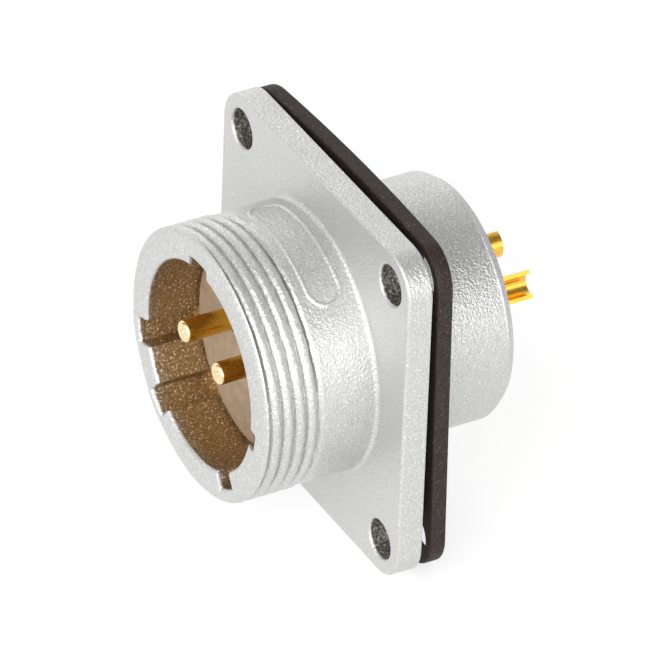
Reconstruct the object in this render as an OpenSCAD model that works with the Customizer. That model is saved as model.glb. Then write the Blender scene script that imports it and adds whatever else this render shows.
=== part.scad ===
// Circular flange receptacle with a two-pin insert, solder cups and a panel gasket.
// Every module is drawn with +Z pointing forward, towards the mating plug, and
// z = 0 on the front face of the flange. in_place() then lays the axis down, so
// that forward is -Y, rearward is +Y and +Z stays up.

/* [Flange] */
// Width and height of the square flange
flange_w = 27; // [24:0.5:34]
// Thickness of the flange
flange_t = 1.9; // [1.5:0.1:3]
// Radius of the flange's corners
flange_corner_r = 2.9; // [2:0.1:4]
// Rounding of the flange's front edge
flange_edge_r = 0.4; // [0.2:0.05:0.8]
// Diameter of the screw holes
hole_d = 3; // [2.4:0.1:3.6]
// Distance from a hole's centre to the flange's sides
hole_edge = 2.7; // [2.4:0.1:3.2]
// Softened edge around each hole
hole_edge_r = 0.2; // [0.1:0.05:0.3]

/* [Front barrel] */
// Outer diameter of the coupling thread
thread_d = 20; // [16:0.5:24]
// Pitch of the coupling thread
thread_pitch = 0.95; // [0.8:0.05:1.25]
// Depth of the thread grooves
thread_depth = 0.5; // [0.4:0.05:0.7]
// Number of grooves
thread_grooves = 5; // [3:1:5]
// Metal between the thread's root and the socket
barrel_wall = 1.8; // [1.4:0.05:2.2]
// Length of the plain body between the flange and the thread
plain_len = 4.15; // [3.1:0.05:6]
// Rounding of the rim's outer edge
rim_r = 0.25; // [0.15:0.05:0.5]
// Plain land between the rim's rounding and the first groove
rim_land = 0.07; // [0.05:0.01:0.4]
// How far the plain body lies below the thread's crests
body_drop = 0.12; // [0.05:0.01:0.3]
// Fillet between the plain body and the flange
body_fillet_r = 0.45; // [0.2:0.05:1]

/* [Keyways] */
// Width of the deep keyways
keyway_w = 2.1; // [1.4:0.1:2.4]
// Metal left between a deep keyway's floor and the thread's root
keyway_floor = 0.4; // [0.25:0.05:0.6]
// Angles of the deep keyways, anticlockwise from +X as seen from the front
deep_keyway_angles = [-58, -130.5, -165.5];
// Width of the narrow keyway
narrow_keyway_w = 1.6; // [1.2:0.1:2]
// Angle of the narrow keyway
narrow_keyway_angle = -9; // [-20:1:0]
// Width of the main keyway, which also holds the insert's key
main_keyway_w = 2.6; // [2:0.1:3]
// Angle of the main keyway
main_keyway_angle = 93; // [80:1:100]
// Depth of the narrow keyway and of the main one
shallow_keyway_depth = 0.7; // [0.5:0.05:0.9]

/* [Embossed frame] */
// Angle of the middle of the empty frame on the plain body
frame_angle = 80; // [60:1:120]
// Angle that the frame covers
frame_span = 70; // [40:1:76]
// Width of the frame's raised line
frame_line_w = 0.35; // [0.25:0.05:0.5]
// Height of the raised line above the plain body
frame_line_h = 0.28; // [0.15:0.01:0.4]
// Clear distance from the frame to the flange
frame_flange_gap = 0.95; // [0.6:0.05:1.1]
// Clear distance from the frame to the thread
frame_thread_gap = 0.4; // [0.2:0.05:0.5]

/* [Rear barrel] */
// Length of the barrel behind the flange
rear_len = 9.65; // [8:0.05:13]
// Thickness of the barrel's wall
rear_wall = 1; // [0.9:0.05:1.5]
// Step between the socket and the wider insert cavity
insert_step = 0.4; // [0.3:0.05:0.8]
// Length of the stepped lip at the rear rim
rear_lip_len = 0.7; // [0.65:0.05:1]
// Height of the step down to the lip
rear_lip_step = 0.12; // [0.05:0.01:0.2]
// Length of the chamfer on the lip
rear_chamfer_len = 0.5; // [0.3:0.05:0.6]
// Depth of the chamfer on the lip
rear_chamfer_depth = 0.38; // [0.2:0.02:0.4]

/* [Insert] */
// Depth of the insert's face below the rim
socket_depth = 4.1; // [3.5:0.1:5]
// Distance from the insert's shoulder to the flange's front face, ahead of it
shoulder_lead = 0.6; // [0.3:0.1:1]
// Thickness of the front insulator's shoulder
shoulder_t = 2.6; // [2.2:0.1:3]
// Thickness of the rubber seal between the insulators
seal_t = 1; // [0.6:0.1:1.6]
// Thickness of the retaining ring
ring_t = 0.8; // [0.6:0.05:1]
// Depth of the groove that the retaining ring sits in
ring_groove_depth = 0.4; // [0.3:0.05:0.5]
// Radial width of the retaining ring
ring_w = 1.2; // [0.9:0.05:1.6]
// Width of the gap in the retaining ring
ring_gap = 3; // [1.5:0.5:5]
// Metal behind the retaining ring's groove
ring_land = 0.8; // [0.6:0.05:1.2]
// Clearance of the insert's key above the keyway's floor
key_gap = 0.1; // [0.05:0.05:0.2]
// Chamfer around the insulators' outer edges
insert_chamfer = 0.25; // [0.1:0.05:0.4]

/* [Contacts] */
// Diameter of the contact pins
pin_d = 1.66; // [1.2:0.02:2]
// Diameter of the solder cups
cup_d = 2.1; // [2.02:0.02:2.6]
// Wall of the solder cups
cup_wall = 0.3; // [0.2:0.05:0.4]
// Distance between the two contacts
contact_spacing = 5.06; // [4:0.02:7]
// Height of the contact pair above the barrel's axis
contact_rise = 1.08; // [0:0.02:2]
// Turn of the contact pair about the barrel's axis
contact_turn = -5; // [-15:1:15]
// How far the pins' tips lie below the rim
pin_recess = 0.05; // [0:0.05:1]
// Distance from the flange's front face to the ends of the solder cups
cup_reach = 16.4; // [13:0.1:20]
// Depth of a solder cup's bore
cup_bore_len = 5.2; // [4:0.1:6]
// Length of a solder cup that is cut open
cup_cut_len = 3.7; // [2:0.1:4]
// How far the foot of the pin lies below the insert's face
pin_foot_recess = 0.1; // [0.05:0.05:0.2]
// How far the contact's collar stands out from its body
collar_step = 0.45; // [0.3:0.05:0.7]
// Length of the contact's collar
collar_len = 1.5; // [1:0.1:2]
// Directions that the cut solder cups open to, anticlockwise from +X
cup_open_angles = [176, 20];

/* [Gasket] */
// Thickness of the panel gasket
gasket_t = 1.2; // [0.8:0.1:2]
// Distance of the gasket's edge inside the flange's edge
gasket_inset = 0.1; // [0:0.05:0.5]
// Clearance of the gasket's screw holes around the flange's
gasket_hole_gap = 0.25; // [0.2:0.05:0.4]
// Clearance of the gasket around the rear barrel
gasket_bore_gap = 0.9; // [0.3:0.05:1.2]

/* [Fits] */
// Radial clearance between fixed pieces
fit = 0.06; // [0.04:0.01:0.1]

/* [Hidden] */
$fn = 96;
arc_steps = 6;

hole_spacing = flange_w - 2 * hole_edge;
crest_r = thread_d / 2;
root_r = crest_r - thread_depth;
socket_r = root_r - barrel_wall;
keyway_r = root_r - keyway_floor;
shallow_keyway_r = socket_r + shallow_keyway_depth;
body_r = crest_r - body_drop;
groove_mouth = 0.5 * thread_pitch;
groove_root = 0.12 * thread_pitch;
thread_lead = rim_r + rim_land + groove_mouth / 2;
thread_len = thread_lead + (thread_grooves - 0.5) * thread_pitch;
front_len = plain_len + thread_len;

cavity_r = socket_r + insert_step;
rear_r = cavity_r + rear_wall;
rear_lip_r = rear_r - rear_lip_step;
rear_z = -flange_t - rear_len;

insert_front_z = front_len - socket_depth;
seal_z = shoulder_lead - shoulder_t;
ring_groove_r = cavity_r + ring_groove_depth;
ring_z = rear_z + ring_land;
rear_insulator_z = ring_z + ring_t;
insert_key_w = main_keyway_w - 2 * fit;

pin_r = pin_d / 2;
cup_r = cup_d / 2;
cup_bore_r = cup_r - cup_wall;
collar_r = cup_r + collar_step;
collar_z = seal_z + collar_len;
pin_tip_z = front_len - pin_recess;
pin_nose_len = 0.5 * pin_r;
pin_flat_r = 0.42 * pin_r;
pin_foot_z = insert_front_z - pin_foot_recess;

frame_r = body_r + frame_line_h;
frame_w = 2 * body_r * sin(frame_span / 2);
frame_h = plain_len - frame_flange_gap - frame_thread_gap;

// Points of a quarter circle about c, from angle a0 to angle a1
function arc(c, r, a0, a1) =
    [for (i = [0 : arc_steps]) let (a = a0 + (a1 - a0) * i / arc_steps)
        [c[0] + r * cos(a), c[1] + r * sin(a)]];

// Height of the middle of thread groove i
function groove_z(i) = front_len - thread_lead - i * thread_pitch;

// Centre of contact i, 0 on the left and 1 on the right
function contact_at(i) =
    let (half = (i - 0.5) * contact_spacing)
        [half * cos(contact_turn), contact_rise + half * sin(contact_turn)];

module in_place() { rotate([90, 0, 0]) children(); }

module rounded_square(w, h, r) {
    square([w - 2 * r, h], center = true);
    square([w, h - 2 * r], center = true);
    for (x = [-1, 1], y = [-1, 1])
        translate([x * (w / 2 - r), y * (h / 2 - r)]) circle(r);
}

module round_ended_bar(w, h) {
    square([w - h, h], center = true);
    for (x = [-0.5, 0.5]) translate([x * (w - h), 0]) circle(h / 2);
}

module at_holes() {
    for (x = [-0.5, 0.5], y = [-0.5, 0.5])
        translate([x * hole_spacing, y * hole_spacing, 0]) children();
}

module at_contacts() {
    for (i = [0, 1]) translate(concat(contact_at(i), 0)) children();
}

// Half section of the flange's edge, from a corner's centre outwards
module edge_section() {
    polygon(concat([[0, -flange_t], [flange_corner_r, -flange_t]],
        arc([flange_corner_r - flange_edge_r, -flange_edge_r], flange_edge_r, 0, 90),
        [[0, 0]]));
}

// Flange plate whose front edge is rounded along the sides and round the corners
module flange_plate() {
    side = flange_w - 2 * flange_corner_r;
    translate([0, 0, -flange_t / 2]) cube([side, side, flange_t], center = true);
    for (a = [0 : 90 : 270]) rotate(a) {
        translate([side / 2, side / 2, 0]) rotate_extrude(angle = 90) edge_section();
        translate([side / 2, side / 2, 0]) rotate([90, 0, 0])
            linear_extrude(side) edge_section();
    }
}

// Outside of the barrel: rim, thread grooves, plain body, rear barrel
module barrel_outside() {
    rotate_extrude() polygon(concat(
        [[0, front_len]],
        arc([crest_r - rim_r, front_len - rim_r], rim_r, 90, 0),
        [for (i = [0 : thread_grooves - 1], p = [
            [crest_r, groove_z(i) + groove_mouth / 2],
            [root_r, groove_z(i) + groove_root / 2],
            [root_r, groove_z(i) - groove_root / 2],
            [i < thread_grooves - 1 ? crest_r : body_r, groove_z(i) - groove_mouth / 2]]) p],
        arc([body_r + body_fillet_r, body_fillet_r], body_fillet_r, 180, 270),
        [[body_r + body_fillet_r, -flange_t / 2], [rear_r, -flange_t / 2],
         [rear_r, rear_z + rear_lip_len], [rear_lip_r, rear_z + rear_lip_len],
         [rear_lip_r, rear_z + rear_chamfer_len], [rear_lip_r - rear_chamfer_depth, rear_z],
         [0, rear_z]]));
}

// Inside of the barrel: socket, insert cavity, groove for the retaining ring
module barrel_inside() {
    rotate_extrude() polygon([
        [0, front_len + 1], [socket_r + 0.2, front_len + 1], [socket_r + 0.2, front_len],
        [socket_r, front_len - 0.2], [socket_r, shoulder_lead], [cavity_r, shoulder_lead],
        [cavity_r, ring_z + ring_t + fit], [ring_groove_r, ring_z + ring_t + fit],
        [ring_groove_r, ring_z - fit], [cavity_r, ring_z - fit], [cavity_r, rear_z - 1],
        [0, rear_z - 1]]);
}

// A straight slot from the axis outwards, with a floor that follows the barrel
module slot(r, w, z0, z1) {
    intersection() {
        translate([0, 0, z0]) cylinder(r = r, h = z1 - z0);
        translate([0, -w / 2, z0 - 1]) cube([r + 1, w, z1 - z0 + 2]);
    }
}

module keyways() {
    side_z = insert_front_z - 0.5;
    for (a = deep_keyway_angles) rotate(a) slot(keyway_r, keyway_w, side_z, front_len + 1);
    rotate(narrow_keyway_angle)
        slot(shallow_keyway_r, narrow_keyway_w, side_z, front_len + 1);
    rotate(main_keyway_angle)
        slot(shallow_keyway_r, main_keyway_w, shoulder_lead, front_len + 1);
}

// Empty raised frame with round ends on the plain body, cut from a thin tube
module embossed_frame() {
    intersection() {
        difference() {
            cylinder(r = frame_r, h = plain_len);
            translate([0, 0, -1]) cylinder(r = body_r - 0.15, h = plain_len + 2);
        }
        rotate([0, 0, frame_angle]) translate([0, 0, frame_flange_gap + frame_h / 2])
            rotate([90, 0, 90]) linear_extrude(frame_r + 1) difference() {
                round_ended_bar(frame_w, frame_h);
                round_ended_bar(frame_w - 2 * frame_line_w, frame_h - 2 * frame_line_w);
            }
    }
}

// Die-cast housing: flange, threaded keyed socket and rear barrel in one piece
module shell() color("gainsboro") in_place() difference() {
    union() {
        flange_plate();
        barrel_outside();
        embossed_frame();
    }
    barrel_inside();
    keyways();
    at_holes() {
        translate([0, 0, -flange_t - 1]) cylinder(d = hole_d, h = flange_t + 2);
        translate([0, 0, -hole_edge_r])
            cylinder(r1 = hole_d / 2, r2 = hole_d / 2 + 2 * hole_edge_r, h = 2 * hole_edge_r);
    }
}

// Flat rubber gasket that seals the flange to the panel
module panel_gasket() color("#2a2522") in_place()
    translate([0, 0, -flange_t - gasket_t]) linear_extrude(gasket_t) difference() {
        rounded_square(flange_w - 2 * gasket_inset, flange_w - 2 * gasket_inset,
            flange_corner_r - gasket_inset);
        circle(rear_r + gasket_bore_gap);
        for (x = [-0.5, 0.5], y = [-0.5, 0.5])
            translate([x * hole_spacing, y * hole_spacing])
                circle(hole_d / 2 + gasket_hole_gap);
    }

// Moulded disc that carries the pins and closes the socket
module front_insulator() color("#8a7460") in_place() difference() {
    union() {
        rotate_extrude() polygon([
            [0, insert_front_z], [socket_r - fit - insert_chamfer, insert_front_z],
            [socket_r - fit, insert_front_z - insert_chamfer],
            [socket_r - fit, shoulder_lead], [cavity_r - fit, shoulder_lead],
            [cavity_r - fit, seal_z], [0, seal_z]]);
        rotate(main_keyway_angle)
            slot(shallow_keyway_r - key_gap, insert_key_w, shoulder_lead, insert_front_z);
    }
    at_contacts() {
        translate([0, 0, seal_z - 1]) cylinder(r = cup_r + fit, h = front_len);
        translate([0, 0, seal_z - 1]) cylinder(r = collar_r + fit, h = collar_len + 1);
    }
}

// Rubber disc squeezed between the two insulators
module insert_seal() color("#3a3a3a") in_place() difference() {
    translate([0, 0, seal_z - seal_t]) cylinder(r = cavity_r - fit, h = seal_t);
    at_contacts() translate([0, 0, seal_z - seal_t - 1]) cylinder(r = cup_r + fit, h = seal_t + 2);
}

// Moulded disc that backs the contacts' collars
module rear_insulator() color("#7a6553") in_place() difference() {
    rotate_extrude() polygon([
        [0, seal_z - seal_t], [cavity_r - fit, seal_z - seal_t],
        [cavity_r - fit, rear_insulator_z + insert_chamfer],
        [cavity_r - fit - insert_chamfer, rear_insulator_z], [0, rear_insulator_z]]);
    at_contacts() translate([0, 0, rear_insulator_z - 1])
        cylinder(r = cup_r + fit, h = seal_z - seal_t - rear_insulator_z + 2);
}

// Open spring ring that holds the insert against its shoulder
module retaining_ring() color("silver") in_place() translate([0, 0, ring_z]) difference() {
    cylinder(r = ring_groove_r - fit, h = ring_t);
    translate([0, 0, -1]) cylinder(r = ring_groove_r - fit - ring_w, h = ring_t + 2);
    translate([0, -ring_groove_r, ring_t / 2])
        cube([ring_gap, 2 * ring_groove_r, ring_t + 2], center = true);
}

// Turned contact: pin, collar and solder cup, with the end of the cup cut open
module contact(open_angle) color("goldenrod") difference() {
    rotate_extrude() polygon(concat(
        [[0, pin_tip_z]],
        [for (i = [0 : arc_steps]) let (a = 90 * i / arc_steps)
            [pin_flat_r + (pin_r - pin_flat_r) * sin(a), pin_tip_z - pin_nose_len * (1 - cos(a))]],
        [[pin_r, pin_foot_z], [cup_r, pin_foot_z], [cup_r, collar_z], [collar_r, collar_z],
         [collar_r, seal_z], [cup_r, seal_z], [cup_r, -cup_reach], [0, -cup_reach]]));
    translate([0, 0, -cup_reach - 1]) cylinder(r = cup_bore_r, h = cup_bore_len + 1);
    rotate(open_angle) translate([0, -cup_d, -cup_reach - 1])
        cube([cup_d, 2 * cup_d, cup_cut_len + 1]);
}

module contact_1() in_place() translate(concat(contact_at(0), 0)) contact(cup_open_angles[0]);
module contact_2() in_place() translate(concat(contact_at(1), 0)) contact(cup_open_angles[1]);

shell();
panel_gasket();
front_insulator();
insert_seal();
rear_insulator();
retaining_ring();
contact_1();
contact_2();
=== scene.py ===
# %% [markdown]
# # A flange-mounted connector receptacle
# The part is a die-cast metal shell with a square flange, a coupling thread and a keyed socket.
# Two gold contacts stand in a moulded insert, and a rubber gasket lies behind the flange.
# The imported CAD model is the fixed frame: it says where everything is. Blender adds the finish,
# and remakes the pieces whose surface needs more than plain CAD faces.

# %% Load the frame
import math

import bmesh
import bpy
from mathutils import Matrix, Vector, noise


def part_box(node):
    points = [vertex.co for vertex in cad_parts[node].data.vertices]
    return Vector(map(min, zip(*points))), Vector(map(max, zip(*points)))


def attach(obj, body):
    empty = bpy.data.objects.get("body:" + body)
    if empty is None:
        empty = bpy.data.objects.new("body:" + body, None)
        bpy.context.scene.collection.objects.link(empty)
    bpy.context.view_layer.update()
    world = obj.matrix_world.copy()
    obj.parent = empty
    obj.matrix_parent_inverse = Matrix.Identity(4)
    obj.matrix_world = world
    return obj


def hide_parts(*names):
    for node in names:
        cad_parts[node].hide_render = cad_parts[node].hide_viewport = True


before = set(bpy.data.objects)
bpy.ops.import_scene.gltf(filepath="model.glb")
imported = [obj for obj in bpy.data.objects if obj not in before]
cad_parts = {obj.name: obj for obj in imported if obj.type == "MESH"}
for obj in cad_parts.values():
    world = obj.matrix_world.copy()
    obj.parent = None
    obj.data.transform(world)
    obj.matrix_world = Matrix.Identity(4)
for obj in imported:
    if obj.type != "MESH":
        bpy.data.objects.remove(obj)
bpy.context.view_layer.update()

# %% [markdown]
# ## Sizes from the frame
# Forward is -Y, up is +Z, and the origin is the middle of the flange's front face. Lengths
# along the axis are kept in metres, like everything in Blender, and MM turns a size in
# millimetres into metres. The sizes could all be typed in, but then they could drift from the CAD
# model, so what the frame already knows is read from its boxes. FIT is the running clearance.

# %% Sizes
MM = 0.001
FIT = 0.06 * MM
shell_low, shell_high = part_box("shell")
gasket_low, gasket_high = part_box("panel_gasket")
insulator_low, insulator_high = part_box("front_insulator")
ring_low, ring_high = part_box("retaining_ring")

rim_y = shell_low.y
rear_y = shell_high.y
flange_half = shell_high.x
flange_back_y = gasket_low.y
gasket_back_y = gasket_high.y
insert_face_y = insulator_low.y
cavity_r = insulator_high.x + FIT
ring_front_y, ring_back_y = ring_low.y, ring_high.y
print("rim at %.2f, rear at %.2f, insert face at %.2f mm" % (rim_y / MM, rear_y / MM, insert_face_y / MM))

crest_r = 10 * MM
body_r = 9.88 * MM
socket_r = 7.7 * MM
rear_r = cavity_r + 1 * MM
corner_r = 2.9 * MM
hole_r = 1.5 * MM
hole_spot = flange_half - 2.7 * MM
shoulder_y = -0.6 * MM
# Each keyway's angle in degrees, width and floor radius; the main one comes first
KEYWAYS = ((93, 2.6 * MM, 8.4 * MM), (-9, 1.6 * MM, 8.4 * MM), (-58.5, 2.05 * MM, 8.95 * MM),
           (-130.5, 2.1 * MM, 9.1 * MM), (-165.5, 2.1 * MM, 9.1 * MM))
print("keyways at", [keyway[0] for keyway in KEYWAYS], "degrees")

# %% [markdown]
# ## Camera
# The connector is seen from its front right, from above, through a long lens, so that it keeps
# nearly parallel lines. The camera is placed by its azimuth and elevation around the origin,
# with a small roll, and then slid a little so that the object sits right in the picture.

# %% Camera
AZIMUTH, ELEVATION, ROLL = math.radians(60.06), math.radians(34.77), math.radians(2.2)
CAMERA_DISTANCE = 0.72
LENS, SENSOR = 554, 36
SLIDE_RIGHT, SLIDE_UP = 1.605 * MM, 0.06 * MM


def camera_axes(azimuth, elevation, roll):
    """Right, up and backward directions of a camera turned round the origin."""
    back = Vector((math.sin(azimuth) * math.cos(elevation),
                   -math.cos(azimuth) * math.cos(elevation), math.sin(elevation)))
    level = Vector((math.cos(azimuth), math.sin(azimuth), 0))
    turn = Matrix.Rotation(roll, 3, back)
    right = turn @ level
    return right, back.cross(right), back


right, up, back = camera_axes(AZIMUTH, ELEVATION, ROLL)
camera = bpy.data.objects.new("camera", bpy.data.cameras.new("camera"))
camera.data.lens = LENS
camera.data.sensor_width = SENSOR
camera.data.clip_start, camera.data.clip_end = 0.01, 20
spot = back * CAMERA_DISTANCE + right * SLIDE_RIGHT + up * SLIDE_UP
camera.matrix_world = Matrix.Translation(spot) @ Matrix((right, up, back)).transposed().to_4x4()
bpy.context.scene.collection.objects.link(camera)
bpy.context.scene.camera = camera
print("camera at", [round(v, 3) for v in camera.location])

# %% [markdown]
# ## Floor and light
# Plated metal shows what surrounds it, so the studio is as much a part of the finish as the
# material is. The part stands on a white floor that glows softly, in a dim world with wide panels
# of light, most of it low, in front and at the sides. Where the part faces no panel, its bands turn
# grey. The panels could be large area lamps. As parts of the world they lie infinitely far away
# instead, so each one has the same direction everywhere on the part. One small lamp is added for
# the glints on the pins and the grains.

# %% Floor
FLOOR_HALF = 3


def stage_floor():
    """A wide pale floor under the lowest point of the part."""
    bm = bmesh.new()
    bmesh.ops.create_grid(bm, x_segments=1, y_segments=1, size=FLOOR_HALF,
                          matrix=Matrix.Translation((0, 0, shell_low.z)))
    mesh = bpy.data.meshes.new("floor")
    bm.to_mesh(mesh)
    bm.free()
    floor = bpy.data.objects.new("floor", mesh)
    bpy.context.scene.collection.objects.link(floor)
    return floor


floor = stage_floor()
print("floor at z = %.2f mm" % (shell_low.z / MM))


# %% Lamp
def soft_lamp(name, toward, distance, size, power):
    """A square area lamp that shines on the part from the direction given."""
    lamp = bpy.data.lights.new(name, "AREA")
    lamp.size = size
    lamp.energy = power
    obj = bpy.data.objects.new(name, lamp)
    obj.location = Vector(toward).normalized() * distance
    obj.rotation_euler = Vector(toward).to_track_quat("Z", "Y").to_euler()
    bpy.context.scene.collection.objects.link(obj)
    return obj


glint = soft_lamp("glint", toward=(0.6, -0.8, 0.8), distance=0.7, size=0.12, power=0.15)
print("lamp:", glint.name)

# %% World
# Azimuth, elevation and strength of each panel; azimuth 0 is the connector's right side, 270 its front
PANELS = ((0, 12, 2.6), (315, 12, 2.3), (270, 12, 2.1), (180, 12, 1.4), (135, 12, 0.4),
          (315, 48, 1.4), (135, 48, 0.4), (180, 48, 0.4), (0, 48, 0.2))
PANEL_CORE, PANEL_EDGE = math.cos(math.radians(4)), math.cos(math.radians(42))
WORLD_LEVEL = 0.19


def studio_world(level, panels):
    """A dim world with wide soft panels of light, as in a tent of cloth; each fades out all round."""
    made = bpy.data.worlds.new("studio")
    made.use_nodes = True
    nodes, links = made.node_tree.nodes, made.node_tree.links
    where = nodes.new("ShaderNodeTexCoord")
    total = None
    for azimuth, elevation, strength in panels:
        across, height = math.radians(azimuth), math.radians(elevation)
        facing = nodes.new("ShaderNodeVectorMath")
        facing.operation = "DOT_PRODUCT"
        facing.inputs[1].default_value = (math.cos(across) * math.cos(height),
                                          math.sin(across) * math.cos(height), math.sin(height))
        links.new(where.outputs["Generated"], facing.inputs[0])
        fade = nodes.new("ShaderNodeMapRange")
        fade.interpolation_type = "SMOOTHSTEP"
        fade.inputs["From Min"].default_value = PANEL_EDGE
        fade.inputs["From Max"].default_value = PANEL_CORE
        fade.inputs["To Min"].default_value = 0
        fade.inputs["To Max"].default_value = strength
        links.new(facing.outputs["Value"], fade.inputs["Value"])
        sum_up = nodes.new("ShaderNodeMath")
        sum_up.operation = "ADD"
        sum_up.inputs[0].default_value = level
        if total:
            links.new(total, sum_up.inputs[0])
        links.new(fade.outputs["Result"], sum_up.inputs[1])
        total = sum_up.outputs["Value"]
    links.new(total, nodes["Background"].inputs["Strength"])
    nodes["Background"].inputs["Color"].default_value = (1, 1, 1, 1)
    return made


bpy.context.scene.world = studio_world(WORLD_LEVEL, PANELS)
bpy.context.scene.view_settings.view_transform = "Standard"
print("world with", len(PANELS), "panels of light")

# %% [markdown]
# ## Finishes
# Each finish is a Principled shader whose colour, roughness and bump come from noise in Object
# coordinates. An unwrapped texture could do the same, but noise needs no seams and stays sharp at
# any distance. Every object sits at the origin, so its coordinates are metres in the part's own
# frame, and a noise scale of 5000 means a grain of about a fifth of a millimetre.

# %% Shader helpers
def new_finish(name, roughness=0.5, metallic=0.0):
    """A material with only a Principled shader, and that shader."""
    material = bpy.data.materials.new(name)
    material.use_nodes = True
    shader = material.node_tree.nodes["Principled BSDF"]
    shader.inputs["Roughness"].default_value = roughness
    shader.inputs["Metallic"].default_value = metallic
    return material, shader


def grain(material, scale, detail=2.0):
    """Noise in the part's own space; returns its factor socket."""
    nodes, links = material.node_tree.nodes, material.node_tree.links
    where = nodes.new("ShaderNodeTexCoord")
    pattern = nodes.new("ShaderNodeTexNoise")
    pattern.inputs["Scale"].default_value = scale
    pattern.inputs["Detail"].default_value = detail
    links.new(where.outputs["Object"], pattern.inputs["Vector"])
    return pattern.outputs["Fac"]


def ramp(material, fac, stops):
    """A colour ramp with the given (place, colour) stops; returns its colour socket."""
    node = material.node_tree.nodes.new("ShaderNodeValToRGB")
    node.color_ramp.elements.remove(node.color_ramp.elements[1])
    node.color_ramp.elements[0].position = stops[0][0]
    node.color_ramp.elements[0].color = (*stops[0][1], 1)
    for place, color in stops[1:]:
        node.color_ramp.elements.new(place).color = (*color, 1)
    material.node_tree.links.new(fac, node.inputs["Fac"])
    return node.outputs["Color"]


def spread(material, fac, low, high, start=0.3, end=0.7):
    """Maps a factor from start..end to low..high."""
    node = material.node_tree.nodes.new("ShaderNodeMapRange")
    node.inputs["From Min"].default_value = start
    node.inputs["From Max"].default_value = end
    node.inputs["To Min"].default_value = low
    node.inputs["To Max"].default_value = high
    material.node_tree.links.new(fac, node.inputs["Value"])
    return node.outputs["Result"]


def bump(material, shader, heights):
    """Chains a Bump node for each (factor, depth in metres, strength) onto the shader's normal."""
    nodes, links = material.node_tree.nodes, material.node_tree.links
    normal = None
    for fac, depth, strength in heights:
        node = nodes.new("ShaderNodeBump")
        node.inputs["Distance"].default_value = depth
        node.inputs["Strength"].default_value = strength
        links.new(fac, node.inputs["Height"])
        if normal:
            links.new(normal, node.inputs["Normal"])
        normal = node.outputs["Normal"]
    links.new(normal, shader.inputs["Normal"])


def depth_share(material, start, end):
    """How far a point lies from start to end along the axis."""
    nodes, links = material.node_tree.nodes, material.node_tree.links
    where = nodes.new("ShaderNodeTexCoord")
    split = nodes.new("ShaderNodeSeparateXYZ")
    links.new(where.outputs["Object"], split.inputs["Vector"])
    return spread(material, split.outputs["Y"], 0, 1, start, end)


def blend(material, share, first, second):
    """Mixes two colours by a share."""
    node = material.node_tree.nodes.new("ShaderNodeMix")
    node.data_type = "RGBA"
    for socket, index in ((share, 0), (first, 6), (second, 7)):
        material.node_tree.links.new(socket, node.inputs[index])
    return node.outputs[2]


def feed(material, socket, shader, name):
    """Plugs a socket into one of the shader's inputs."""
    material.node_tree.links.new(socket, shader.inputs[name])


print("grain at scale 5000: %.2f mm" % (1 / 5000 / MM))

# %% [markdown]
# ## Plated casting
# The shell is a plated casting, pale and satin, with grains that sparkle; its brightest grains are
# painted glints. Inside the socket the colour is browner and darker, which is painted shade and a painted
# reflection of the brown insert, and in the screw holes it is duller and darker still, as painted shade;
# both have white specks as painted glints. One metal could serve everywhere, but its colour could not be
# set for each place then, so the three have a finish each.

# %% Plated metal
def plated_metal():
    """Matte plating over a die casting: pale and even, with a fine sparkling grain whose brightest specks
    are painted glints.
    """
    material, shader = new_finish("plated_shell", metallic=0.65)
    fine = grain(material, 4500, 3)
    tiny = grain(material, 8500, 1)
    broad = grain(material, 350, 2)
    # The grain's top stop paints bright specks into the colour as painted glints; the lower stops are the
    # plating's own uneven tone
    feed(material, ramp(material, tiny, [(0.3, (0.47, 0.47, 0.465)), (0.62, (0.58, 0.58, 0.573)),
                                         (0.72, (0.8, 0.8, 0.79))]),
         shader, "Base Color")
    feed(material, spread(material, broad, 0.28, 0.4), shader, "Roughness")
    bump(material, shader, [(fine, 0.065 * MM, 1.0), (tiny, 0.03 * MM, 1.0)])
    return material


def shaded_socket_metal():
    """The same plating inside the socket, coloured brown and dark as painted shade and a painted
    reflection of the insert, with white specks as painted glints.
    """
    material, shader = new_finish("plated_socket_painted_shade", metallic=0.9)
    fine = grain(material, 4500, 2)
    tiny = grain(material, 6000, 1)
    # Painted shade and a painted reflection of the brown insert: brown deep in the socket, grey nearer
    # the mouth; the top stop of each ramp is a white painted glint
    brown = ramp(material, tiny, [(0.35, (0.30, 0.19, 0.085)), (0.56, (0.46, 0.31, 0.15)),
                                  (0.66, (0.6, 0.46, 0.28)), (0.71, (1.0, 0.97, 0.92))])
    grey = ramp(material, tiny, [(0.35, (0.30, 0.26, 0.24)), (0.56, (0.46, 0.42, 0.38)),
                                 (0.66, (0.6, 0.56, 0.52)), (0.71, (1.0, 0.98, 0.96))])
    # The painted shade and reflection change from grey to brown going deeper into the socket
    painted_shade_share = depth_share(material, rim_y - 1.2 * MM, rim_y + 1.4 * MM)
    feed(material, blend(material, painted_shade_share, grey, brown), shader, "Base Color")
    feed(material, spread(material, fine, 0.25, 0.5), shader, "Roughness")
    bump(material, shader, [(fine, 0.03 * MM, 1.0), (tiny, 0.04 * MM, 1.0)])
    return material


def shaded_bore_metal():
    """Duller cast metal in the screw holes, darkened as painted shade, with pale specks as painted
    glints.
    """
    material, shader = new_finish("plated_bore_painted_shade", metallic=1.0)
    fine = grain(material, 5500, 3)
    # The dark colour is painted shade in the holes; the top stop is a pale painted glint
    feed(material, ramp(material, fine, [(0.35, (0.16, 0.14, 0.12)), (0.55, (0.4, 0.37, 0.33)),
                                         (0.66, (0.95, 0.92, 0.86))]),
         shader, "Base Color")
    shader.inputs["Roughness"].default_value = 0.45
    bump(material, shader, [(fine, 0.05 * MM, 1.0)])
    return material


plating, shaded_socket_plating, shaded_bore_plating = plated_metal(), shaded_socket_metal(), shaded_bore_metal()
print("cast finishes:", plating.name, shaded_socket_plating.name, shaded_bore_plating.name)
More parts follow.
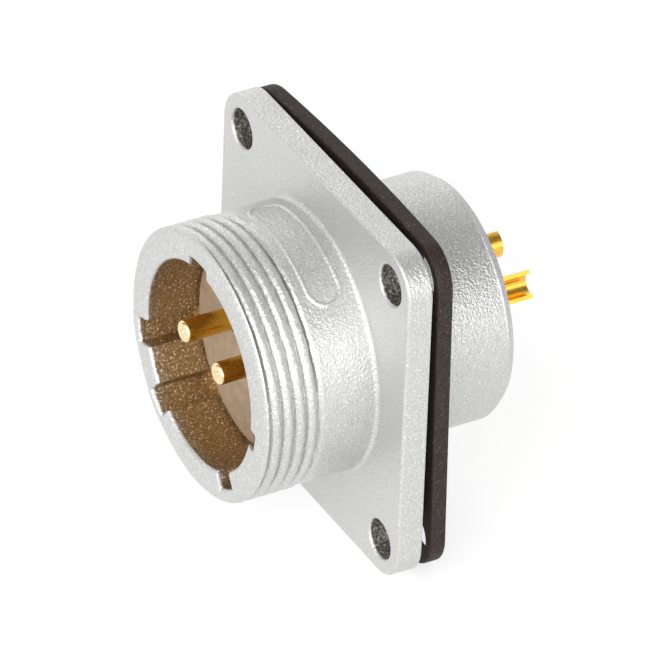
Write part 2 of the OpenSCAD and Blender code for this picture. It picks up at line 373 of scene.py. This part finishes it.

# %% [markdown]
# ## Rubber, mouldings and gold
# The gasket is brown-black rubber, and the insert a taupe thermoset moulding. The contacts are
# plated with gold. It could be a plain mirror-like metal, but a faint grain and a thin soft coat
# soften its reflections. The noses have a paler gold than the shafts, a painted highlight so that they
# stand out bright, and the distance along the axis tells the shader where a nose ends.

# %% Rubber, mouldings and gold
def gasket_rubber():
    """Brown-black rubber with pale specks."""
    material, shader = new_finish("gasket_rubber", roughness=0.6)
    fine = grain(material, 6000, 3)
    feed(material, ramp(material, fine, [(0.35, (0.012, 0.008, 0.006)), (0.62, (0.03, 0.019, 0.014)),
                                         (0.75, (0.1, 0.08, 0.07))]),
         shader, "Base Color")
    shader.inputs["Specular IOR Level"].default_value = 0.3
    bump(material, shader, [(fine, 0.02 * MM, 0.4)])
    return material


def moulding(name, dark, light):
    """Thermoset moulding with a faint mottle."""
    material, shader = new_finish(name, roughness=0.45)
    mottle = grain(material, 1200, 4)
    feed(material, ramp(material, mottle, [(0.35, dark), (0.65, light)]), shader, "Base Color")
    bump(material, shader, [(mottle, 0.01 * MM, 0.3)])
    return material


def spring_steel():
    """Bright rolled spring steel."""
    material, shader = new_finish("ring_steel", metallic=1.0)
    fine = grain(material, 2500, 2)
    feed(material, ramp(material, fine, [(0.3, (0.5, 0.5, 0.5)), (0.7, (0.65, 0.65, 0.64))]),
         shader, "Base Color")
    feed(material, spread(material, fine, 0.2, 0.4), shader, "Roughness")
    bump(material, shader, [(fine, 0.005 * MM, 0.3)])
    return material


def gold_plate():
    """Gold plating on turned brass, with a paler gold on the nose than on the shaft as a painted
    highlight.
    """
    material, shader = new_finish("gold_contact", metallic=1.0)
    fine = grain(material, 4000, 2)
    shaft = ramp(material, fine, [(0.3, (0.84, 0.48, 0.06)), (0.7, (0.92, 0.56, 0.09))])
    # The nose's paler gold is a painted highlight
    nose = ramp(material, fine, [(0.3, (0.82, 0.64, 0.33)), (0.7, (0.94, 0.78, 0.48))])
    # Where along the axis the painted highlight on the nose gives way to the shaft's gold
    along = depth_share(material, rim_y + 0.2 * MM, rim_y + 0.38 * MM)
    feed(material, blend(material, along, nose, shaft), shader, "Base Color")
    feed(material, spread(material, fine, 0.16, 0.28), shader, "Roughness")
    shader.inputs["Coat Weight"].default_value = 0.2
    shader.inputs["Coat Roughness"].default_value = 0.3
    bump(material, shader, [(fine, 0.004 * MM, 0.3)])
    return material


rubber, gold, steel = gasket_rubber(), gold_plate(), spring_steel()
front_moulding = moulding("insulator", (0.265, 0.195, 0.13), (0.33, 0.25, 0.175))
seal_rubber = moulding("seal_rubber", (0.02, 0.02, 0.02), (0.05, 0.05, 0.05))
print("finishes:", [m.name for m in bpy.data.materials])

# %% Floor finish
FLOOR_GLOW = 0.71
floor_finish, floor_shader = new_finish("floor", roughness=0.9)
floor_shader.inputs["Base Color"].default_value = (0.3, 0.3, 0.3, 1)
floor_shader.inputs["Emission Color"].default_value = (1, 1, 1, 1)
floor_shader.inputs["Emission Strength"].default_value = FLOOR_GLOW
floor.data.materials.append(floor_finish)
print("floor glows at", FLOOR_GLOW)

# %% [markdown]
# ## Rings of vertices
# The shell and the gasket are made of closed outlines pushed along the axis. They could be cut
# from blocks with booleans, but those leave long thin triangles, so one small tool makes them all.
# An outline is a list of spots, and each spot has a centre and an angle. A ring of vertices stands
# at a chosen reach from the centres. The next ring is extruded from the last one's edges and moved
# to its own reach and depth, which gives a clean grid of quads.

# %% Ring helpers
def move_ring(ring, spots, reach, y):
    """Puts each vertex at its spot's centre plus reach, a length or a function of the angle."""
    for vert, (x, z, angle) in zip(ring, spots):
        r = reach(angle) if callable(reach) else reach
        vert.co = (x + r * math.cos(angle), y, z + r * math.sin(angle))


def first_ring(bm, spots, reach, y):
    """A closed ring of vertices to extrude from."""
    ring = bmesh.ops.create_circle(bm, segments=len(spots), radius=1)["verts"]
    move_ring(ring, spots, reach, y)
    return ring


def ring_edges(bm, ring):
    """The edges that join a ring's vertices, in order."""
    return [bm.edges.get((a, b)) for a, b in zip(ring, ring[1:] + ring[:1])]


def next_ring(bm, ring, spots, reach, y, finish=0):
    """Extrudes a ring, and moves the new one to its reach and depth."""
    made = bmesh.ops.extrude_edge_only(bm, edges=ring_edges(bm, ring))["geom"]
    fresh = {g for g in made if isinstance(g, bmesh.types.BMVert)}
    for face in (g for g in made if isinstance(g, bmesh.types.BMFace)):
        face.material_index = finish
    grown = [next(e.other_vert(v) for e in v.link_edges if e.other_vert(v) in fresh) for v in ring]
    move_ring(grown, spots, reach, y)
    return grown


def run_rings(bm, ring, spots, stations, finish=0):
    """Extrudes a ring through a list of (reach, y) stations; returns the last ring."""
    for reach, y in stations:
        ring = next_ring(bm, ring, spots, reach, y, finish)
    return ring


def fill_faces(bm, fronts, backs):
    """Fills the front face between its rings, and the rear face between its own."""
    for rings, normal in ((fronts, (0, -1, 0)), (backs, (0, 1, 0))):
        edges = [e for ring in rings for e in ring_edges(bm, ring)]
        bmesh.ops.triangle_fill(bm, edges=edges, use_beauty=True, normal=normal)


print("a ring is a list of vertices, a station is (reach, y)")


# %% Stations and spots
def quarter(reach, y, r, start, end, steps=5):
    """Stations of an arc of radius r about (reach, y), from angle start to end in degrees."""
    turns = [math.radians(start + (end - start) * i / steps) for i in range(1, steps + 1)]
    return [(reach + r * math.cos(t), y + r * math.sin(t)) for t in turns]


def round_spots(x, z, count):
    """Spots of a circle about (x, z)."""
    return [(x, z, math.tau * i / count) for i in range(count)]


def corner_spots(half, r, count):
    """Spots of a square with round corners, given by the corners' centres."""
    core = half - r
    spots = []
    for quadrant, (sx, sz) in enumerate(((1, 1), (-1, 1), (-1, -1), (1, -1))):
        for i in range(count + 1):
            spots.append((sx * core, sz * core, math.radians(90 * (quadrant + i / count))))
    return spots


def smoothstep(low, high, value):
    """0 below low, 1 above high, and a soft curve between."""
    t = min(max((value - low) / (high - low), 0), 1)
    return t * t * (3 - 2 * t)


print("halfway up a soft step:", smoothstep(0, 1, 0.5))


# %% Piece helper
def finish_piece(name, bm, materials, node, crease=38):
    """Turns a bmesh into a smooth-shaded piece that stands for a CAD node."""
    bmesh.ops.remove_doubles(bm, verts=bm.verts, dist=0.0005 * MM)
    bmesh.ops.recalc_face_normals(bm, faces=bm.faces)
    open_edges = sum(1 for e in bm.edges if not e.is_manifold)
    for face in bm.faces:
        face.smooth = True
    mesh = bpy.data.meshes.new(name)
    bm.to_mesh(mesh)
    bm.free()
    mesh.set_sharp_from_angle(angle=math.radians(crease))
    for material in materials:
        mesh.materials.append(material)
    piece = bpy.data.objects.new(name, mesh)
    bpy.context.scene.collection.objects.link(piece)
    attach(piece, "root")
    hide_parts(node)
    print(name, len(mesh.polygons), "faces,", open_edges, "open edges")
    return piece


# %% [markdown]
# ## The coupling thread
# A thread is a groove that climbs one pitch for each turn. It could be cut with a spun profile and
# a boolean, but the barrel's rings can stay level while the groove is pressed into them: at every
# angle it lies a little further forward than at the last, so that it winds round as a right-hand
# helix. It fades in behind the rim and fades out above the plain body, as a cast thread does. The
# valleys are soft, with a narrow crease that is sharpest on one side of the first and last turns.

# %% Thread profile
PITCH = 0.945 * MM
TURNS = 5
# The first groove is this far ahead of the flange at this angle
FIRST_GROOVE, GROOVE_ANGLE = 8.47 * MM, 15
GROOVE_DEPTH, CREASE_DEPTH = 0.2 * MM, 0.16 * MM
# Half widths of the valley and of the crease, from floor to edge, as shares of the pitch
VALLEY, CREASE = (0, 0.42), (0.03, 0.12)
# Angles between which the crease of the first and last turns sharpens and softens again
SHARPENS, SOFTENS, SHARPER = (10, 30), (70, 90), 1.6
# Angles between which the first turn fades in and the last one fades out
START_FADE, END_FADE = (118, 158), (-150, -112)
# The crest drops to the plain body this far behind the last groove
STEP_BEHIND = 0.1 * MM
print("thread: %d turns, %.3f mm pitch" % (TURNS, PITCH / MM))


def wrapped(degrees):
    """An angle brought into -180..180."""
    return (degrees + 180) % 360 - 180


def groove_ahead(turn, degrees):
    """How far a turn of the groove lies ahead of the flange at this angle."""
    return FIRST_GROOVE + PITCH * ((degrees - GROOVE_ANGLE) / 360 - turn)


def thread_depth_at(degrees, ahead):
    """Depth of the groove, a soft valley with a narrow crease, at an angle and a distance ahead."""
    deepest = 0
    for turn in range(TURNS):
        offset = abs(ahead - groove_ahead(turn, degrees)) / PITCH
        depth = GROOVE_DEPTH * (1 - smoothstep(*VALLEY, offset))
        crease = CREASE_DEPTH
        if turn in (0, TURNS - 1):
            crease *= 1 + SHARPER * smoothstep(*SHARPENS, degrees) * (1 - smoothstep(*SOFTENS, degrees))
        depth += crease * (1 - smoothstep(*CREASE, offset))
        if turn == 0:
            depth *= 1 - smoothstep(*START_FADE, degrees)
        if turn == TURNS - 1:
            depth *= smoothstep(*END_FADE, degrees)
        deepest = max(deepest, depth)
    return deepest


def body_step_ahead(degrees):
    """Where the thread's crest drops to the plain body: behind the last groove."""
    low, high = END_FADE[0], START_FADE[0]
    along = min(max(degrees, low), high)
    if not low <= degrees <= high:
        gap = 360 - (high - low)
        share = ((degrees - high) % 360) / gap
        along = high + (low - high) * share
    return groove_ahead(TURNS - 1, along) - STEP_BEHIND


# %% Barrel reach
# Scale and depth of each layer of the casting's unevenness, and of the groove's wandering
UNEVEN = ((1.6, 0.02 * MM), (4, 0.012 * MM))
WAVER_SCALE, WAVER = 1.1, 0.05 * MM
# The noise is read on a circle of this radius in millimetres
NOISE_R = 9
# The unevenness dies away towards the flange and towards the rim
CALM_BACK, CALM_FRONT = (0.5 * MM, 1.2 * MM), (8.2 * MM, 8.6 * MM)
HALF_STEP = 0.05 * MM


def barrel_reach(ahead):
    """The barrel's radius as a function of the angle, at a distance ahead of the flange."""
    def reach(angle):
        degrees = wrapped(math.degrees(angle))
        step = body_step_ahead(degrees)
        base = body_r + (crest_r - body_r) * smoothstep(step - HALF_STEP, step + HALF_STEP, ahead)
        point = Vector((math.cos(angle) * NOISE_R, math.sin(angle) * NOISE_R, ahead / MM))
        uneven = sum(noise.noise(point * scale) * depth for scale, depth in UNEVEN)
        inward = smoothstep(*CALM_BACK, ahead) * (1 - smoothstep(*CALM_FRONT, ahead))
        waver = noise.noise(point * WAVER_SCALE) * WAVER
        return (base + uneven * inward - thread_depth_at(degrees, ahead + waver)
                + frame_height(degrees, ahead))
    return reach


print("groove ahead of the flange at 0 degrees:",
      [round(groove_ahead(turn, 0) / MM, 2) for turn in range(TURNS)])


# %% [markdown]
# ## The raised frame
# A thin raised line runs round an empty field on the plain body. It could be a separate curve
# wrapped on the barrel, but it is one casting with the body, so it is a height added to the body's
# rings, worked out from the distance to a round-ended bar that is laid round the barrel.

# %% Raised frame
FRAME_ANGLE, FRAME_SPAN = 80, 70
FRAME_LINE = 0.28 * MM
FRAME_HEIGHT = 0.1 * MM
FRAME_BACK, FRAME_FRONT = 0.95 * MM, 3.75 * MM
# Where the line's top ends and its foot begins, from its middle, as shares of its width
LINE_TOP, LINE_FOOT = 0.25, 0.62


def frame_height(degrees, ahead):
    """Height of the raised line over the plain body."""
    along = math.radians(degrees - FRAME_ANGLE) * body_r
    across = ahead - (FRAME_BACK + FRAME_FRONT) / 2
    half_long = body_r * math.sin(math.radians(FRAME_SPAN / 2)) - FRAME_LINE / 2
    end_r = (FRAME_FRONT - FRAME_BACK - FRAME_LINE) / 2
    past_end = max(abs(along) - (half_long - end_r), 0)
    from_line = abs(math.hypot(past_end, across) - end_r)
    return FRAME_HEIGHT * (1 - smoothstep(LINE_TOP * FRAME_LINE, LINE_FOOT * FRAME_LINE, from_line))


print("raised frame: %.1f mm wide, over %d degrees" % ((FRAME_FRONT - FRAME_BACK) / MM, FRAME_SPAN))


# %% [markdown]
# ## The shell's outline
# One outline serves the whole barrel. It needs a vertex on each corner of each keyway, and
# closely spaced ones under the raised frame.

# %% Barrel spots
# Steps in degrees under the frame and elsewhere, and how near a corner a spot may lie
FINE_TURN, COARSE_TURN, CLEAR_TURN = 0.5, 1.5, 0.4
# How far the fine steps run on past the frame's ends, in degrees
FINE_MARGIN = 4


def keyway_halves(width, floor_r):
    """Half angles of a keyway at the socket's wall and at its own floor, in degrees."""
    return (math.degrees(math.asin(width / 2 / socket_r)),
            math.degrees(math.asin(width / 2 / floor_r)))


def barrel_spots():
    """Spots round the axis: corners of the keyways, fine steps under the frame, coarse elsewhere."""
    corners = []
    for center, width, floor_r in KEYWAYS:
        corners += [wrapped(center + side * half) for side in (-1, 1)
                    for half in keyway_halves(width, floor_r)]
    fine_reach = FRAME_SPAN / 2 + FINE_MARGIN
    angles = list(corners)
    degrees = -180.0
    while degrees < 180:
        if min(abs(wrapped(degrees - c)) for c in corners) > CLEAR_TURN:
            angles.append(degrees)
        degrees += FINE_TURN if abs(wrapped(degrees - FRAME_ANGLE)) < fine_reach else COARSE_TURN
    return [(0, 0, math.radians(a)) for a in sorted(angles)]


def keyed_reach(keyways):
    """Radius of the socket's wall, or of a keyway's floor where one of these keyways is."""
    def reach(angle):
        for center, width, floor_r in keyways:
            if abs(wrapped(math.degrees(angle) - center)) < sum(keyway_halves(width, floor_r)) / 2:
                return floor_r
        return socket_r
    return reach


spots = barrel_spots()
print("spots round the barrel:", len(spots))


# %% [markdown]
# ## The shell
# The shell is one casting, so it is one closed mesh. It could be joined from a barrel and a plate,
# but the joint would show, so everything grows from the rim's inner edge. One run of rings goes
# out over the rim, along the thread and the plain body to the flange. Another goes down the
# socket, through the insert's cavity and out at the rear, and then forward along the rear barrel
# to the back of the flange. The flange's two faces are filled between the barrel, the four holes
# and the square outline.

# %% Rim, thread and body
# The rim's rounding is a quarter of an ellipse, this far in from the crest and this long
RIM_OUT, RIM_ALONG = 1.1 * MM, 0.3 * MM
MOUTH_R = 0.25 * MM
FILLET = 0.35 * MM
# Distance of the ring that keeps a flat face flat beside a rounding
SUPPORT = 0.06 * MM
THREAD_STEP, BODY_STEP = 0.048 * MM, 0.085 * MM
BODY_FRONT = 3.2 * MM


def even_steps(start, end, step):
    """Evenly spaced values after start up to and including end."""
    count = max(1, round(abs(end - start) / step))
    return [start + (end - start) * i / count for i in range(1, count + 1)]


def rim_reach(share):
    """Radius at a share of the way from the mouth's rounding, or the flat beside it, to the crest."""
    def reach(angle):
        start = max(crest_r - RIM_OUT, keyed_reach(KEYWAYS)(angle) + MOUTH_R + SUPPORT)
        return start + (crest_r - start) * share
    return reach


def mouth_reach(out):
    """Radius a little outside the socket's wall and the keyways' floors."""
    return lambda angle: keyed_reach(KEYWAYS)(angle) + out


def mouth_stations():
    """Rounding from the rim's face into the socket."""
    turns = [math.radians(a) for a in range(18, 91, 18)]
    return [(mouth_reach(MOUTH_R * (1 - math.sin(t))), rim_y + MOUTH_R * (1 - math.cos(t)))
            for t in turns]


def front_stations():
    """Rim, thread, plain body and fillet, from the rim's inner edge to the flange."""
    collar = -rim_y - RIM_ALONG
    turns = [math.radians(9 * i) for i in range(11)]
    stations = [(rim_reach(math.sin(t)), rim_y + RIM_ALONG * (1 - math.cos(t))) for t in turns]
    for ahead in even_steps(collar, BODY_FRONT, THREAD_STEP):
        stations.append((barrel_reach(ahead), -ahead))
    for ahead in even_steps(BODY_FRONT, FILLET, BODY_STEP):
        stations.append((barrel_reach(ahead), -ahead))
    stations += quarter(body_r + FILLET, -FILLET, FILLET, 180, 90, 6)
    stations.append((body_r + FILLET + SUPPORT, 0))
    return stations


print("rings from the rim to the flange:", len(front_stations()))

# %% Socket and rear
RING_GROOVE = 0.4 * MM
# How far the keyways' floors run on past the insert's face, which hides their ends
KEYWAY_RUN_ON = 0.5 * MM
LIP_LEN, LIP_STEP, LIP_GROOVE = 0.7 * MM, 0.12 * MM, 0.06 * MM
CHAMFER_LEN, CHAMFER_DEPTH, CHAMFER_SOFT = 0.44 * MM, 0.38 * MM, 0.1 * MM
CAVITY_EDGE = 0.1 * MM
# Distances of the rings that keep the shading straight, on the lip and at the barrel's two ends
LIP_HOLD, BARREL_HOLD = 0.1 * MM, 0.2 * MM


def inner_stations():
    """Socket, keyways, cavity, groove and rear rim, from the rim's inner edge to the flange's back."""
    all_keyed, main_keyed = keyed_reach(KEYWAYS), keyed_reach(KEYWAYS[:1])
    groove_r = cavity_r + RING_GROOVE
    keyway_end = insert_face_y + KEYWAY_RUN_ON
    lip_r, lip_y = rear_r - LIP_STEP, rear_y - LIP_LEN
    socket = [(all_keyed, rim_y + 2 * MOUTH_R), (all_keyed, keyway_end), (main_keyed, keyway_end),
              (main_keyed, shoulder_y)]
    cavity = [(cavity_r, shoulder_y), (cavity_r, ring_front_y - FIT), (groove_r, ring_front_y - FIT),
              (groove_r, ring_back_y + FIT), (cavity_r, ring_back_y + FIT),
              (cavity_r, rear_y - CAVITY_EDGE), (cavity_r + CAVITY_EDGE, rear_y)]
    rear = [(lip_r - CHAMFER_DEPTH, rear_y), (lip_r - 0.8 * CHAMFER_SOFT, rear_y - CHAMFER_LEN),
            (lip_r, rear_y - CHAMFER_LEN - CHAMFER_SOFT), (lip_r, lip_y + LIP_HOLD),
            (lip_r - LIP_GROOVE, lip_y), (rear_r, lip_y - LIP_GROOVE), (rear_r, lip_y - BARREL_HOLD),
            (rear_r, flange_back_y + BARREL_HOLD), (rear_r, flange_back_y),
            (rear_r + SUPPORT, flange_back_y)]
    return socket, cavity + rear


print("rings down the socket and out at the rear:", [len(part) for part in inner_stations()])

# %% Flange and screw holes
HOLE_SOFT = 0.2 * MM
# Spots round a screw hole, and steps round a corner
HOLE_SPOTS, CORNER_STEPS = 56, 12
FLANGE_EDGE, FLANGE_BACK_EDGE = 0.2 * MM, 0.06 * MM


def hole_run(bm, x, z):
    """One screw hole; returns its front and rear rings, which the faces are filled to."""
    spots = round_spots(x, z, HOLE_SPOTS)
    mouth_r = hole_r + HOLE_SOFT
    front = first_ring(bm, spots, mouth_r + SUPPORT, 0)
    stations = [(mouth_r, 0)] + quarter(mouth_r, HOLE_SOFT, HOLE_SOFT, -90, -180, 4)
    ring = run_rings(bm, front, spots, stations)
    ring = run_rings(bm, ring, spots, [(hole_r, 1.5 * HOLE_SOFT), (hole_r, flange_back_y)], 2)
    return front, next_ring(bm, ring, spots, hole_r + SUPPORT, flange_back_y)


def flange_run(bm):
    """The flange's rim; returns the rings that bound its front and rear faces."""
    spots = corner_spots(flange_half, corner_r, CORNER_STEPS)
    front_r, back_r = corner_r - FLANGE_EDGE, corner_r - FLANGE_BACK_EDGE
    back_y = flange_back_y - FLANGE_BACK_EDGE
    front = first_ring(bm, spots, front_r - SUPPORT, 0)
    stations = [(front_r, 0)] + quarter(front_r, FLANGE_EDGE, FLANGE_EDGE, -90, 0, 5)
    stations += [(corner_r, FLANGE_EDGE + SUPPORT), (corner_r, back_y - SUPPORT), (corner_r, back_y)]
    stations += quarter(back_r, back_y, FLANGE_BACK_EDGE, 0, 90, 3)
    stations.append((back_r - SUPPORT, flange_back_y))
    return front, run_rings(bm, front, spots, stations)


print("screw holes %.1f mm apart" % (2 * hole_spot / MM))


# %% Shell
# Edges sharper than this, nearer the axis than this, are rounded by this much
CRISP_ANGLE, MOUTH_LIMIT, KEYWAY_SOFT = 50, 9.5 * MM, 0.1 * MM


def make_shell():
    """The die-cast housing as one closed mesh."""
    bm = bmesh.new()
    lip = first_ring(bm, spots, mouth_reach(MOUTH_R), rim_y)
    front_ring = run_rings(bm, lip, spots, front_stations())
    socket, rest = inner_stations()
    ring = run_rings(bm, lip, spots, mouth_stations())
    ring = run_rings(bm, ring, spots, socket, 1)
    rear_ring = run_rings(bm, ring, spots, rest)
    flange_front, flange_back = flange_run(bm)
    fronts, backs = [front_ring, flange_front], [rear_ring, flange_back]
    for x in (-hole_spot, hole_spot):
        for z in (-hole_spot, hole_spot):
            front, rear = hole_run(bm, x, z)
            fronts.append(front)
            backs.append(rear)
    fill_faces(bm, fronts, backs)
    bmesh.ops.remove_doubles(bm, verts=bm.verts, dist=0.0005 * MM)
    soften_socket(bm)
    return finish_piece("housing", bm, [plating, shaded_socket_plating, shaded_bore_plating], "shell")


def soften_socket(bm):
    """Rounds the crisp edges of the rim's mouth and of the keyways."""
    crisp = [e for e in bm.edges
             if len(e.link_faces) == 2 and e.calc_face_angle() > math.radians(CRISP_ANGLE)
             and all(math.hypot(v.co.x, v.co.z) < MOUTH_LIMIT and v.co.y < insert_face_y
                     for v in e.verts)]
    bmesh.ops.bevel(bm, geom=crisp, offset=KEYWAY_SOFT, offset_type="OFFSET", segments=2, profile=0.5,
                    affect="EDGES", clamp_overlap=True, material=-1)


make_shell()

# %% [markdown]
# ## Gasket
# A die-cut rubber sheet with a slightly rounded cut edge. It hangs loose behind the flange until
# the connector is screwed down, so it does not lie flat: its corners stand off by different
# amounts, and its upper edge bows away in the middle. A cloth simulation could find such a shape,
# but a sheet this stiff bends in one smooth sweep, so a formula lifts the flat sheet instead.

# %% Gasket
CORNER_LIFT = {(-1, 1): 0, (1, 1): 0.45 * MM, (1, -1): 0.85 * MM, (-1, -1): 0.3 * MM}
EDGE_BOW = 0.5 * MM
GASKET_INSET, BORE_GAP, HOLE_GAP = 0.1 * MM, 0.9 * MM, 0.25 * MM
GASKET_EDGE = 0.15 * MM
# Spots round the gasket's bore, and round each of its screw holes
BORE_SPOTS, GASKET_HOLE_SPOTS = 160, 40
BEND_STEP = 1.5 * MM


def gasket_lift(x, z):
    """How far the loose gasket stands off the flange's back at a place on it."""
    u, w = x / flange_half, z / flange_half
    lift = sum(corner * (1 + a * u) * (1 + b * w) / 4 for (a, b), corner in CORNER_LIFT.items())
    return lift + EDGE_BOW * (1 - u * u) * ((1 + w) / 2) ** 2


def cut_grid(bm, half, step):
    """Cuts a plate along evenly spaced lines both ways, so that it can bend."""
    count = int(half / step)
    for i in range(-count, count + 1):
        for normal in ((1, 0, 0), (0, 0, 1)):
            bmesh.ops.bisect_plane(bm, geom=bm.verts[:] + bm.edges[:] + bm.faces[:],
                                   dist=0.001 * MM, plane_no=normal,
                                   plane_co=(i * step, 0, i * step))


def cut_edge(reach, side):
    """Stations round a cut edge from front to back; side says which way the rubber lies, 1 is out."""
    stations = []
    rounding = (0, 30, 60, 90)
    for face_y, inward, turns in ((flange_back_y, 1, rounding), (gasket_back_y, -1, rounding[::-1])):
        for turn in turns:
            a = math.radians(turn)
            stations.append((reach + side * GASKET_EDGE * (1 - math.sin(a)),
                             face_y + inward * GASKET_EDGE * (1 - math.cos(a))))
    return stations + [(reach + side * (GASKET_EDGE + SUPPORT), gasket_back_y)]


def make_gasket():
    """The square gasket with its five holes."""
    bm = bmesh.new()
    half, round_r = gasket_high.x, corner_r - GASKET_INSET
    fronts, backs = [], []
    outlines = [(corner_spots(half, round_r, CORNER_STEPS), round_r, -1),
                (round_spots(0, 0, BORE_SPOTS), rear_r + BORE_GAP, 1)]
    outlines += [(round_spots(x, z, GASKET_HOLE_SPOTS), hole_r + HOLE_GAP, 1)
                 for x in (-hole_spot, hole_spot) for z in (-hole_spot, hole_spot)]
    for outline, reach, side in outlines:
        front = first_ring(bm, outline, reach + side * (GASKET_EDGE + SUPPORT), flange_back_y)
        fronts.append(front)
        backs.append(run_rings(bm, front, outline, cut_edge(reach, side)))
    fill_faces(bm, fronts, backs)
    cut_grid(bm, half, BEND_STEP)
    for vert in bm.verts:
        vert.co.y += gasket_lift(vert.co.x, vert.co.z)
    return finish_piece("gasket_sheet", bm, [rubber], "panel_gasket")


make_gasket()

# %% [markdown]
# ## Contacts
# Each contact is turned from bar: a pin with a rounded nose in front, a collar inside the insert,
# and a solder cup behind, whose end is cut open along its axis. The nose has a shallow dish with a
# small pip in its middle. The cup could be cut with a boolean, but its thin edges come out cleaner
# when the closed half and the open half of the turning are spun apart and merged, and the cut is
# closed with two long faces.

# %% Contact profile
PIN_R, CUP_R, CUP_BORE_R, COLLAR_R = 0.83 * MM, 1.05 * MM, 0.75 * MM, 1.5 * MM
CUP_CUT, CUP_DEPTH = 3.7 * MM, 5.2 * MM
CUP_EDGE = 0.04 * MM
PIN_FOOT = 0.1 * MM
# The ring that keeps the shading straight ahead of the cup's cut
CUT_HOLD = 0.3 * MM
COLLAR_FRONT_Y, COLLAR_BACK_Y = 0.5 * MM, 2 * MM
# Radius and distance from the tip, in millimetres: pip, dish and rounded edge
NOSE = ((0, 0), (0.07, 0.01), (0.13, 0.05), (0.17, 0.13), (0.25, 0.15), (0.33, 0.12), (0.55, 0.05),
        (0.64, 0.05), (0.73, 0.09), (0.79, 0.16), (0.82, 0.24), (PIN_R / MM, 0.34))


def contact_profile(tip_y, end_y, closed):
    """Half section (radius, y) of a contact, with its cup whole or cut short."""
    points = [(r * MM, tip_y + y * MM) for r, y in NOSE]
    foot_y, cut_y = insert_face_y + PIN_FOOT, end_y - CUP_CUT
    points += [(PIN_R, foot_y), (CUP_R, foot_y), (CUP_R, COLLAR_FRONT_Y), (COLLAR_R, COLLAR_FRONT_Y),
               (COLLAR_R, COLLAR_BACK_Y), (CUP_R, COLLAR_BACK_Y), (CUP_R, cut_y - CUT_HOLD),
               (CUP_R, cut_y)]
    if closed:
        points += [(CUP_R, end_y - CUP_EDGE), (CUP_R - CUP_EDGE, end_y), (CUP_BORE_R + CUP_EDGE, end_y),
                   (CUP_BORE_R, end_y - CUP_EDGE)]
    return points + [(CUP_BORE_R, cut_y), (CUP_BORE_R, end_y - CUP_DEPTH), (0, end_y - CUP_DEPTH)]


print("points in a contact's half section:", len(contact_profile(0, 25 * MM, True)))


# %% Contacts
def spin_half(bm, points, x, z, start):
    """Spins a half section through half a turn about the axis at (x, z)."""
    verts = [bm.verts.new((x + r * math.cos(start), y, z + r * math.sin(start))) for r, y in points]
    edges = [bm.edges.new(pair) for pair in zip(verts, verts[1:])]
    bmesh.ops.spin(bm, geom=verts + edges, cent=(x, 0, z), axis=(0, -1, 0), angle=math.pi, steps=28,
                   use_merge=False)


def make_contact(number, open_angle):
    """One turned contact; the closed half of its cup faces away from open_angle."""
    low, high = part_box("contact_%d" % number)
    x, z = (low.x + high.x) / 2, (low.z + high.z) / 2
    bm = bmesh.new()
    opened = math.radians(open_angle)
    spin_half(bm, contact_profile(low.y, high.y, closed=True), x, z, opened + math.pi / 2)
    spin_half(bm, contact_profile(low.y, high.y, closed=False), x, z, opened - math.pi / 2)
    bmesh.ops.remove_doubles(bm, verts=bm.verts, dist=0.001 * MM)
    gaps = [e for e in bm.edges if e.is_boundary]
    bmesh.ops.holes_fill(bm, edges=gaps, sides=0)
    return finish_piece("gold_contact_%d" % number, bm, [gold], "contact_%d" % number)


# The directions that the cut cups open to, anticlockwise from +X as seen from the front
for number, open_angle in ((1, 176), (2, 20)):
    make_contact(number, open_angle)

# %% [markdown]
# ## Mouldings, seal and ring
# The insert's two mouldings, the seal between them and the ring that holds them in are plain
# turned forms that mostly lie hidden. They could be remade too, but these CAD pieces already have
# their true form, so they stay and only get their finish.

# %% Finishes on the CAD pieces
for name, material in (("front_insulator", front_moulding), ("rear_insulator", front_moulding),
                       ("insert_seal", seal_rubber), ("retaining_ring", steel)):
    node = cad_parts[name]
    node.data.materials.clear()
    node.data.materials.append(material)
    print(name, "finished as", material.name)
